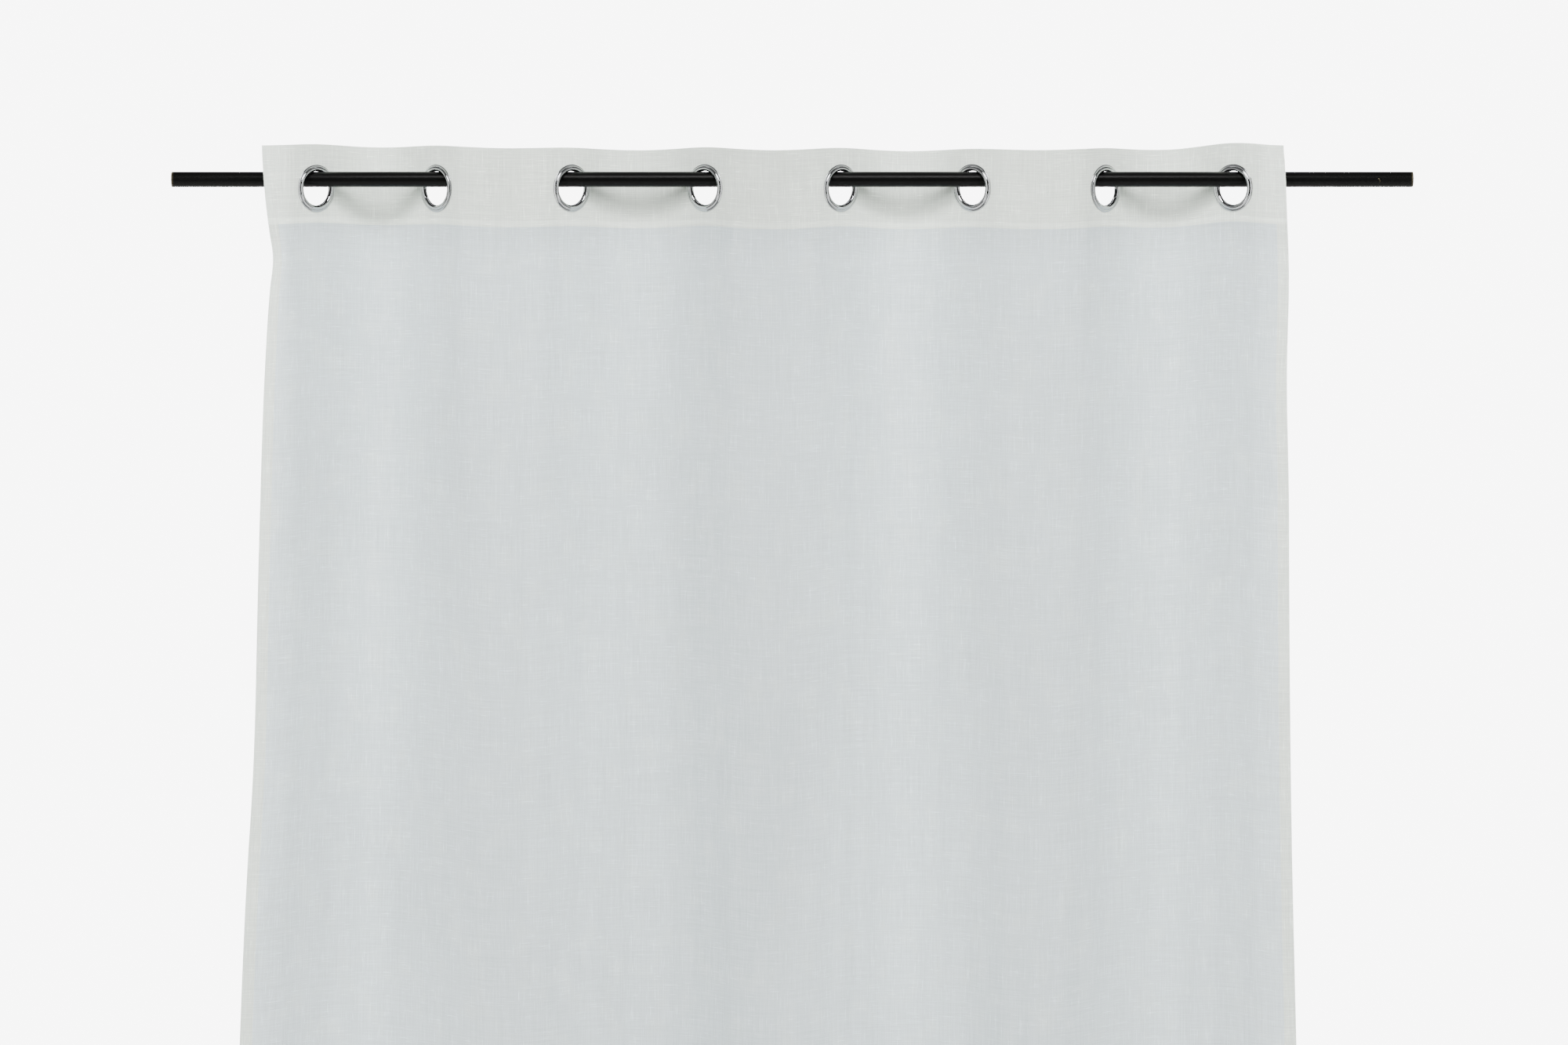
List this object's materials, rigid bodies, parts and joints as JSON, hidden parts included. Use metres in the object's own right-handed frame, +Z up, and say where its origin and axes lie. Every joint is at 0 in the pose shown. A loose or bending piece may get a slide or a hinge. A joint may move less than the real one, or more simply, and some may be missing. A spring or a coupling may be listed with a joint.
{
  "type": "eyelet curtain on rod",
  "caption": "Semi-sheer curtain hung by its eyelets on a plain round rod, folded in waves, which gathers along the rod.",
  "frame": {"origin": "on the rod's axis, halfway along the rod", "axes": "+X runs along the rod, -Y faces the room and +Z is up"},
  "size_m": [1.456, 0.0945, 2.4009],
  "materials": {
    "satin_black_steel": "satin black powder coat",
    "linen_cloth": "semi-sheer slubbed linen-look weave, off-white",
    "buckram_tape": "stiff open-woven heading tape, cream",
    "polished_chrome": "polished chrome plate"
  },
  "bodies": {
    "rod": {"curtain_rod": "satin_black_steel"},
    "pleat_1": {"curtain_cloth_1": "linen_cloth", "heading_stiffener_1": "buckram_tape", "eyelet_front_1": "polished_chrome", "eyelet_back_1": "polished_chrome"},
    "pleat_2": {"curtain_cloth_2": "linen_cloth", "heading_stiffener_2": "buckram_tape", "eyelet_front_2": "polished_chrome", "eyelet_back_2": "polished_chrome"},
    "pleat_3": {"curtain_cloth_3": "linen_cloth", "heading_stiffener_3": "buckram_tape", "eyelet_front_3": "polished_chrome", "eyelet_back_3": "polished_chrome"},
    "pleat_4": {"curtain_cloth_4": "linen_cloth", "heading_stiffener_4": "buckram_tape", "eyelet_front_4": "polished_chrome", "eyelet_back_4": "polished_chrome"},
    "pleat_5": {"curtain_cloth_5": "linen_cloth", "heading_stiffener_5": "buckram_tape", "eyelet_front_5": "polished_chrome", "eyelet_back_5": "polished_chrome"},
    "pleat_6": {"curtain_cloth_6": "linen_cloth", "heading_stiffener_6": "buckram_tape", "eyelet_front_6": "polished_chrome", "eyelet_back_6": "polished_chrome"},
    "pleat_7": {"curtain_cloth_7": "linen_cloth", "heading_stiffener_7": "buckram_tape", "eyelet_front_7": "polished_chrome", "eyelet_back_7": "polished_chrome"},
    "pleat_8": {"curtain_cloth_8": "linen_cloth", "heading_stiffener_8": "buckram_tape", "eyelet_front_8": "polished_chrome", "eyelet_back_8": "polished_chrome"}
  },
  "joints": [
    {"name": "gather", "type": "hinge", "parent": "rod", "child": "pleat_1", "pos_m": [-0.55898, 0, 0], "axis": [0, 0, 1], "range_deg": [0, 40]},
    {"name": "fold_1_2", "type": "hinge", "parent": "pleat_1", "child": "pleat_2", "pos_m": [-0.48812, 0.05235, 0], "axis": [0, 0, 1], "range_deg": [-80, 0]},
    {"name": "fold_2_3", "type": "hinge", "parent": "pleat_2", "child": "pleat_3", "pos_m": [-0.33835, -0.03597, 0], "axis": [0, 0, 1], "range_deg": [0, 80]},
    {"name": "fold_3_4", "type": "hinge", "parent": "pleat_3", "child": "pleat_4", "pos_m": [-0.18079, 0.03846, 0], "axis": [0, 0, 1], "range_deg": [-80, 0]},
    {"name": "fold_4_5", "type": "hinge", "parent": "pleat_4", "child": "pleat_5", "pos_m": [-0.02277, -0.03622, 0], "axis": [0, 0, 1], "range_deg": [0, 80]},
    {"name": "fold_5_6", "type": "hinge", "parent": "pleat_5", "child": "pleat_6", "pos_m": [0.13406, 0.04165, 0], "axis": [0, 0, 1], "range_deg": [-80, 0]},
    {"name": "fold_6_7", "type": "hinge", "parent": "pleat_6", "child": "pleat_7", "pos_m": [0.28927, -0.03924, 0], "axis": [0, 0, 1], "range_deg": [0, 80]},
    {"name": "fold_7_8", "type": "hinge", "parent": "pleat_7", "child": "pleat_8", "pos_m": [0.4424, 0.0449, 0], "axis": [0, 0, 1], "range_deg": [-80, 0]}
  ],
  "couplings": [
    {"joint": "fold_1_2", "follows": "gather", "ratio": -2},
    {"joint": "fold_2_3", "follows": "gather", "ratio": 2},
    {"joint": "fold_3_4", "follows": "gather", "ratio": -2},
    {"joint": "fold_4_5", "follows": "gather", "ratio": 2},
    {"joint": "fold_5_6", "follows": "gather", "ratio": -2},
    {"joint": "fold_6_7", "follows": "gather", "ratio": 2},
    {"joint": "fold_7_8", "follows": "gather", "ratio": -2}
  ]
}
